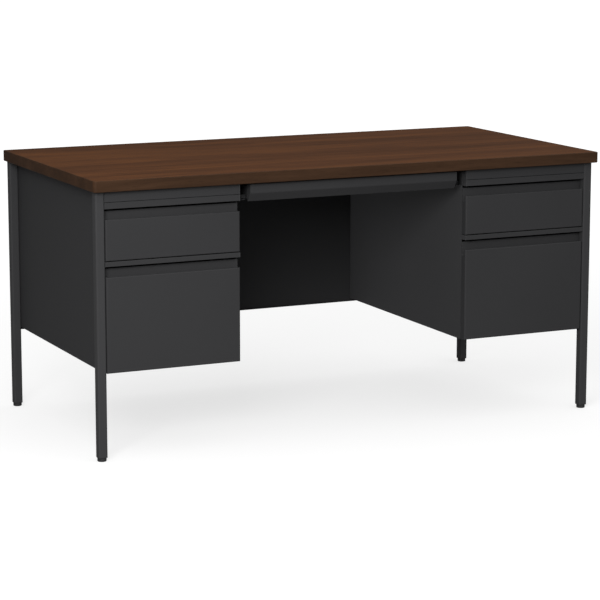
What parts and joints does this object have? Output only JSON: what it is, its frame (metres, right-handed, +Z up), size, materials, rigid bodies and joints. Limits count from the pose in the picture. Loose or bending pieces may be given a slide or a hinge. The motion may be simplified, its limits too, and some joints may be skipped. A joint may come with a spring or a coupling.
{
  "type": "teacher desk",
  "caption": "Double-pedestal steel desk with a walnut laminate top, box and file drawers on each side, a shallow centre drawer and a full modesty panel on square tube legs.",
  "frame": {"origin": "on the floor under the middle of the worktop", "axes": "+X to the sitter's right, +Y away from the sitter towards the modesty panel, +Z up; the drawers open towards -Y"},
  "size_m": [1.524, 0.762, 0.7493],
  "materials": {
    "walnut_laminate": "satin walnut-grain laminate",
    "walnut_edge_moulding": "satin brown edge moulding",
    "particleboard": "raw board",
    "backer_sheet": "phenolic backer",
    "charcoal_enamel": "satin baked enamel",
    "zinc_steel": "zinc plated",
    "zinc_screws": "zinc plated",
    "black_screws": "black oxide",
    "black_nylon": "moulded",
    "moulded_tray": "fine texture"
  },
  "bodies": {
    "desk": {"desktop_core": "particleboard", "desktop_laminate": "walnut_laminate", "desktop_backer": "backer_sheet", "desktop_edge_band": "walnut_edge_moulding", "desktop_screws": "zinc_screws", "modesty_panel": "charcoal_enamel", "modesty_screws": "black_screws", "foot_bushings": "black_nylon", "pedestal_backs": "charcoal_enamel", "slide_posts": "charcoal_enamel", "slide_cabinet_members": "zinc_steel", "centre_hanger_channels": "charcoal_enamel", "leg_front_left": "charcoal_enamel", "leg_front_right": "charcoal_enamel", "leg_rear_left": "charcoal_enamel", "leg_rear_right": "charcoal_enamel", "end_panel_left": "charcoal_enamel", "pedestal_inner_side_left": "charcoal_enamel", "pedestal_bottom_left": "charcoal_enamel", "pedestal_top_rail_left": "charcoal_enamel", "pedestal_head_rail_left": "charcoal_enamel", "pedestal_divider_rail_left": "charcoal_enamel", "end_panel_right": "charcoal_enamel", "pedestal_inner_side_right": "charcoal_enamel", "pedestal_bottom_right": "charcoal_enamel", "pedestal_top_rail_right": "charcoal_enamel", "pedestal_head_rail_right": "charcoal_enamel", "pedestal_divider_rail_right": "charcoal_enamel"},
    "box_drawer_left": {"box_drawer_front_left": "charcoal_enamel", "box_drawer_tray_left": "charcoal_enamel", "box_drawer_screws_left": "zinc_screws", "box_slide_members_left": "zinc_steel"},
    "box_ball_cages_left": {"box_slide_ball_cages_left": "zinc_steel"},
    "file_drawer_left": {"file_drawer_front_left": "charcoal_enamel", "file_drawer_tray_left": "charcoal_enamel", "file_drawer_screws_left": "zinc_screws", "file_slide_members_left": "zinc_steel", "file_hanging_rails_left": "zinc_steel"},
    "file_middle_members_left": {"file_slide_middle_members_left": "zinc_steel"},
    "box_drawer_right": {"box_drawer_front_right": "charcoal_enamel", "box_drawer_tray_right": "charcoal_enamel", "box_drawer_screws_right": "zinc_screws", "box_slide_members_right": "zinc_steel"},
    "box_ball_cages_right": {"box_slide_ball_cages_right": "zinc_steel"},
    "file_drawer_right": {"file_drawer_front_right": "charcoal_enamel", "file_drawer_tray_right": "charcoal_enamel", "file_drawer_screws_right": "zinc_screws", "file_slide_members_right": "zinc_steel", "file_hanging_rails_right": "zinc_steel"},
    "file_middle_members_right": {"file_slide_middle_members_right": "zinc_steel"},
    "centre_drawer": {"centre_drawer_front": "charcoal_enamel", "centre_drawer_tray": "charcoal_enamel", "centre_drawer_runners": "black_nylon", "pencil_tray_insert": "moulded_tray"},
    "glide_front_left": {"levelling_glide_front_left": "black_nylon"},
    "glide_front_right": {"levelling_glide_front_right": "black_nylon"},
    "glide_rear_left": {"levelling_glide_rear_left": "black_nylon"},
    "glide_rear_right": {"levelling_glide_rear_right": "black_nylon"}
  },
  "joints": [
    {"name": "box_drawer_left_slide", "type": "slide", "parent": "desk", "child": "box_drawer_left", "axis": [0, -1, 0], "range_m": [0, 0.412]},
    {"name": "box_cages_left_slide", "type": "slide", "parent": "desk", "child": "box_ball_cages_left", "axis": [0, -1, 0], "range_m": [0, 0.206]},
    {"name": "file_drawer_left_slide", "type": "slide", "parent": "desk", "child": "file_drawer_left", "axis": [0, -1, 0], "range_m": [0, 0.62]},
    {"name": "file_middle_left_slide", "type": "slide", "parent": "desk", "child": "file_middle_members_left", "axis": [0, -1, 0], "range_m": [0, 0.31]},
    {"name": "box_drawer_right_slide", "type": "slide", "parent": "desk", "child": "box_drawer_right", "axis": [0, -1, 0], "range_m": [0, 0.412]},
    {"name": "box_cages_right_slide", "type": "slide", "parent": "desk", "child": "box_ball_cages_right", "axis": [0, -1, 0], "range_m": [0, 0.206]},
    {"name": "file_drawer_right_slide", "type": "slide", "parent": "desk", "child": "file_drawer_right", "axis": [0, -1, 0], "range_m": [0, 0.62]},
    {"name": "file_middle_right_slide", "type": "slide", "parent": "desk", "child": "file_middle_members_right", "axis": [0, -1, 0], "range_m": [0, 0.31]},
    {"name": "centre_drawer_slide", "type": "slide", "parent": "desk", "child": "centre_drawer", "axis": [0, -1, 0], "range_m": [0, 0.32]},
    {"name": "glide_front_left_height", "type": "slide", "parent": "desk", "child": "glide_front_left", "axis": [0, 0, -1], "range_m": [0, 0.012]},
    {"name": "glide_front_right_height", "type": "slide", "parent": "desk", "child": "glide_front_right", "axis": [0, 0, -1], "range_m": [0, 0.012]},
    {"name": "glide_rear_left_height", "type": "slide", "parent": "desk", "child": "glide_rear_left", "axis": [0, 0, -1], "range_m": [0, 0.012]},
    {"name": "glide_rear_right_height", "type": "slide", "parent": "desk", "child": "glide_rear_right", "axis": [0, 0, -1], "range_m": [0, 0.012]}
  ],
  "couplings": [
    {"joint": "box_cages_left_slide", "follows": "box_drawer_left_slide", "ratio": 0.5},
    {"joint": "file_middle_left_slide", "follows": "file_drawer_left_slide", "ratio": 0.5},
    {"joint": "box_cages_right_slide", "follows": "box_drawer_right_slide", "ratio": 0.5},
    {"joint": "file_middle_right_slide", "follows": "file_drawer_right_slide", "ratio": 0.5}
  ]
}
